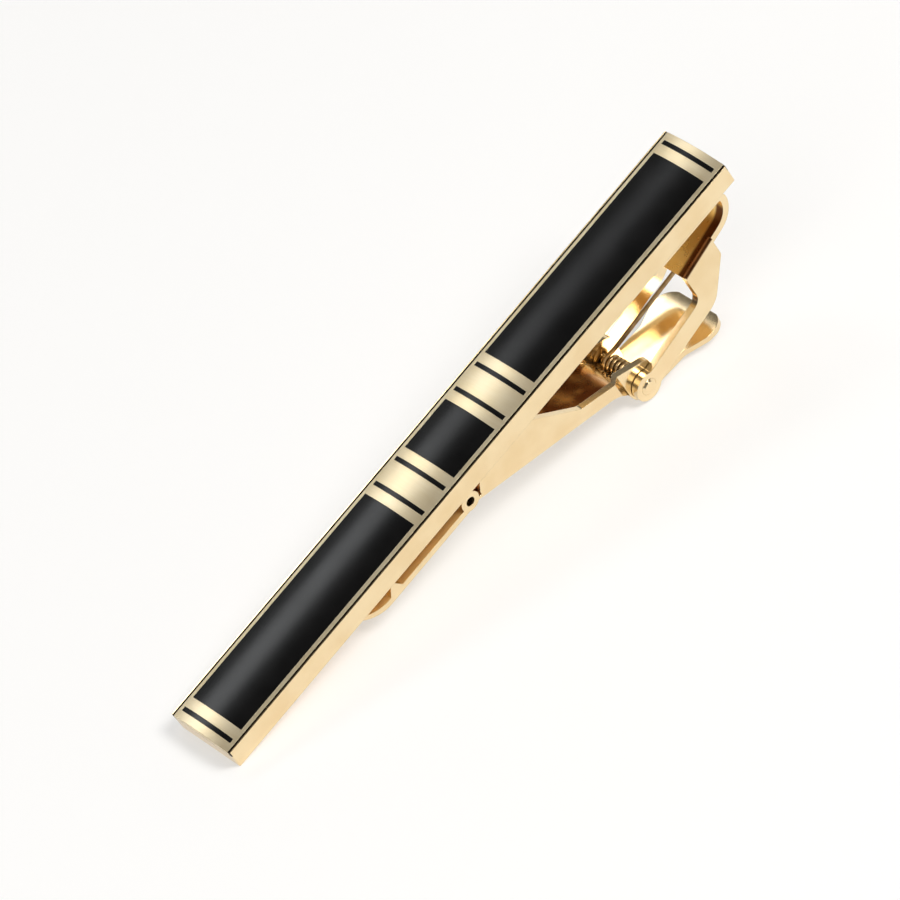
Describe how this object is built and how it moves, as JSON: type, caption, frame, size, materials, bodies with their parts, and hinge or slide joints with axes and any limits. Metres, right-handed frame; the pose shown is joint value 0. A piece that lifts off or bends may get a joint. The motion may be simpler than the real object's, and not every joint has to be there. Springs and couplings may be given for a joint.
{
  "type": "tie clip",
  "caption": "Slim tie clip: a crowned gold-coloured bar with black enamel fields, and a sprung jaw hinged on its back that grips a tie.",
  "frame": {"origin": "centre of the bar's flat back face, where the tie is gripped", "axes": "+X along the bar towards the hinge end, +Y across the bar, +Z out of the enamelled front"},
  "size_m": [0.058, 0.0066, 0.0133],
  "materials": {
    "polished_gold": "polished gold plating on brass",
    "satin_gold": "satin gold plating on brass",
    "black_enamel": "smooth black epoxy enamel",
    "spring_wire": "plated spring wire"
  },
  "bodies": {
    "clip_base": {"bar_body": "polished_gold", "front_plate": "satin_gold", "enamel_centre": "black_enamel", "enamel_inner_line_tip": "black_enamel", "enamel_outer_line_tip": "black_enamel", "enamel_end_line_tip": "black_enamel", "enamel_field_tip": "black_enamel", "enamel_inner_line_hinge": "black_enamel", "enamel_outer_line_hinge": "black_enamel", "enamel_end_line_hinge": "black_enamel", "enamel_field_hinge": "black_enamel", "base_bracket": "polished_gold", "hinge_pin": "polished_gold", "torsion_spring": "spring_wire"},
    "jaw": {"jaw_lever": "polished_gold"}
  },
  "joints": [
    {"name": "jaw_pivot", "type": "hinge", "parent": "clip_base", "child": "jaw", "pos_m": [0.0141, 0, -0.00875], "axis": [0, -1, 0], "range_deg": [0, 13], "stiffness_Nm_per_rad": 0.12, "springref_deg": -14.32, "deforming": ["torsion_spring"]}
  ]
}
